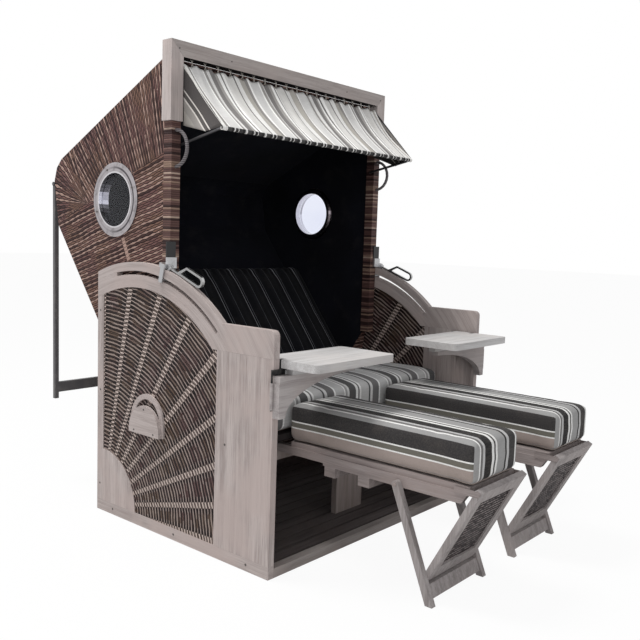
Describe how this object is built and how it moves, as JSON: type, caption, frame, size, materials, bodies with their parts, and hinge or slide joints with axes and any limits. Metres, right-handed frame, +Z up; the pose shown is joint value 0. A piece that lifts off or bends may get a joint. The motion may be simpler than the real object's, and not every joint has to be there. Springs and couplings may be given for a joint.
{
  "type": "hooded beach chair",
  "caption": "Hooded two-seat beach chair in wicker and weathered wood, with a reclining hood, awning, folding side tables, pull-out footrests and striped cushions.",
  "frame": {"origin": "on the floor, in the middle of the base's front edge", "axes": "+Z up, +Y from the front of the base to its back, X across the seat; the picture shows the -X side"},
  "size_m": [1.2366, 1.8341, 1.647],
  "materials": {
    "weathered_wood": "whitewashed, weathered, fine upright grain, matt",
    "shaded_wood": "weathered boards inside the base, matt",
    "wicker": "woven flat strands in mauve brown with lighter strands, matt",
    "lining_cloth": "near-black navy cloth",
    "striped_cloth": "woven cloth with black, grey and white stripes",
    "awning_cloth": "cream cloth with grey stripes",
    "bright_steel": "satin steel",
    "dark_steel": "dark coated steel",
    "grey_paint": "grey coat, satin",
    "port_glass": "clear pane"
  },
  "bodies": {
    "base": {"base_front_rail": "weathered_wood", "base_back_panel": "wicker", "base_floor_slats": "shaded_wood", "seat_post_and_beam": "weathered_wood", "seat_board": "shaded_wood", "seat_cushion": "striped_cloth", "base_rail_left": "weathered_wood", "base_rail_right": "weathered_wood", "base_front_board_left": "weathered_wood", "base_front_board_right": "weathered_wood", "base_rear_stile_left": "weathered_wood", "base_rear_stile_right": "weathered_wood", "base_arch_rail_left": "weathered_wood", "base_arch_rail_right": "weathered_wood", "base_arch_lath_left": "weathered_wood", "base_arch_lath_right": "weathered_wood", "base_wicker_left": "wicker", "base_wicker_right": "wicker", "carry_grip_left": "weathered_wood", "carry_grip_right": "weathered_wood", "pivot_rail_left": "shaded_wood", "pivot_rail_right": "shaded_wood", "table_fitting_left": "dark_steel", "table_fitting_right": "dark_steel", "footrest_cushion_left": "striped_cloth", "footrest_cushion_right": "striped_cloth"},
    "hood": {"hood_back_shell": "wicker", "hood_liner": "lining_cloth", "frame_top_rail": "weathered_wood", "stand_hinge_bar": "bright_steel", "back_cushion": "striped_cloth", "hood_side_left": "wicker", "hood_side_right": "wicker", "hood_post_left": "wicker", "hood_post_right": "wicker", "frame_member_left": "weathered_wood", "frame_member_right": "weathered_wood", "porthole_ring_left": "bright_steel", "porthole_ring_right": "bright_steel", "porthole_glass_left": "port_glass", "porthole_glass_right": "port_glass", "latch_bracket_left": "bright_steel", "latch_bracket_right": "bright_steel"},
    "awning": {"awning_bow": "bright_steel", "awning_cloth": "awning_cloth"},
    "stand": {"rear_stand": "grey_paint"},
    "lever_left": {"latch_lever_left": "bright_steel"},
    "table_left": {"side_table_left": "weathered_wood"},
    "bracket_left": {"table_bracket_left": "weathered_wood"},
    "tray_left": {"footrest_tray_left": "weathered_wood"},
    "panel_left": {"footrest_panel_left": "weathered_wood", "footrest_weave_left": "wicker"},
    "legs_left": {"footrest_legs_left": "weathered_wood"},
    "lever_right": {"latch_lever_right": "bright_steel"},
    "table_right": {"side_table_right": "weathered_wood"},
    "bracket_right": {"table_bracket_right": "weathered_wood"},
    "tray_right": {"footrest_tray_right": "weathered_wood"},
    "panel_right": {"footrest_panel_right": "weathered_wood", "footrest_weave_right": "wicker"},
    "legs_right": {"footrest_legs_right": "weathered_wood"}
  },
  "joints": [
    {"name": "hood_recline", "type": "hinge", "parent": "base", "child": "hood", "pos_m": [0, 0.655, 0.3], "axis": [-1, 0, 0], "range_deg": [-8, 23]},
    {"name": "stand_swing", "type": "hinge", "parent": "hood", "child": "stand", "pos_m": [0, 1.25, 1.2], "axis": [1, 0, 0], "range_deg": [-12, 90]},
    {"name": "awning_swing", "type": "hinge", "parent": "hood", "child": "awning", "pos_m": [0, 0.532, 1.315], "axis": [-1, 0, 0], "range_deg": [-15, 35], "deforming": ["awning_cloth"]},
    {"name": "lever_lift_left", "type": "hinge", "parent": "hood", "child": "lever_left", "pos_m": [-0.5869, 0.4928, 0.9098], "axis": [-1, 0, 0], "range_deg": [0, 70]},
    {"name": "table_fold_left", "type": "hinge", "parent": "base", "child": "table_left", "pos_m": [-0.559, 0, 0.65275], "axis": [0, -1, 0], "range_deg": [0, 90]},
    {"name": "bracket_swing_left", "type": "hinge", "parent": "base", "child": "bracket_left", "pos_m": [-0.6065, 0, 0.56], "axis": [0, 0, -1], "range_deg": [0, 90]},
    {"name": "tray_slide_left", "type": "slide", "parent": "base", "child": "tray_left", "axis": [0, 1, 0], "range_m": [0, 0.2]},
    {"name": "panel_hinge_left", "type": "hinge", "parent": "tray_left", "child": "panel_left", "pos_m": [-0.25, -0.5637, 0.3512], "axis": [-1, 0, 0], "range_deg": [0, 100]},
    {"name": "legs_hinge_left", "type": "hinge", "parent": "tray_left", "child": "legs_left", "pos_m": [-0.25, -0.308, 0.325], "axis": [1, 0, 0], "range_deg": [0, 92]},
    {"name": "lever_lift_right", "type": "hinge", "parent": "hood", "child": "lever_right", "pos_m": [0.5869, 0.4928, 0.9098], "axis": [-1, 0, 0], "range_deg": [0, 70]},
    {"name": "table_fold_right", "type": "hinge", "parent": "base", "child": "table_right", "pos_m": [0.559, 0, 0.65275], "axis": [0, 1, 0], "range_deg": [0, 90]},
    {"name": "bracket_swing_right", "type": "hinge", "parent": "base", "child": "bracket_right", "pos_m": [0.6065, 0, 0.56], "axis": [0, 0, 1], "range_deg": [0, 90]},
    {"name": "tray_slide_right", "type": "slide", "parent": "base", "child": "tray_right", "axis": [0, 1, 0], "range_m": [0, 0.2]},
    {"name": "panel_hinge_right", "type": "hinge", "parent": "tray_right", "child": "panel_right", "pos_m": [0.25, -0.5637, 0.3512], "axis": [-1, 0, 0], "range_deg": [0, 100]},
    {"name": "legs_hinge_right", "type": "hinge", "parent": "tray_right", "child": "legs_right", "pos_m": [0.25, -0.308, 0.325], "axis": [1, 0, 0], "range_deg": [0, 92]}
  ]
}
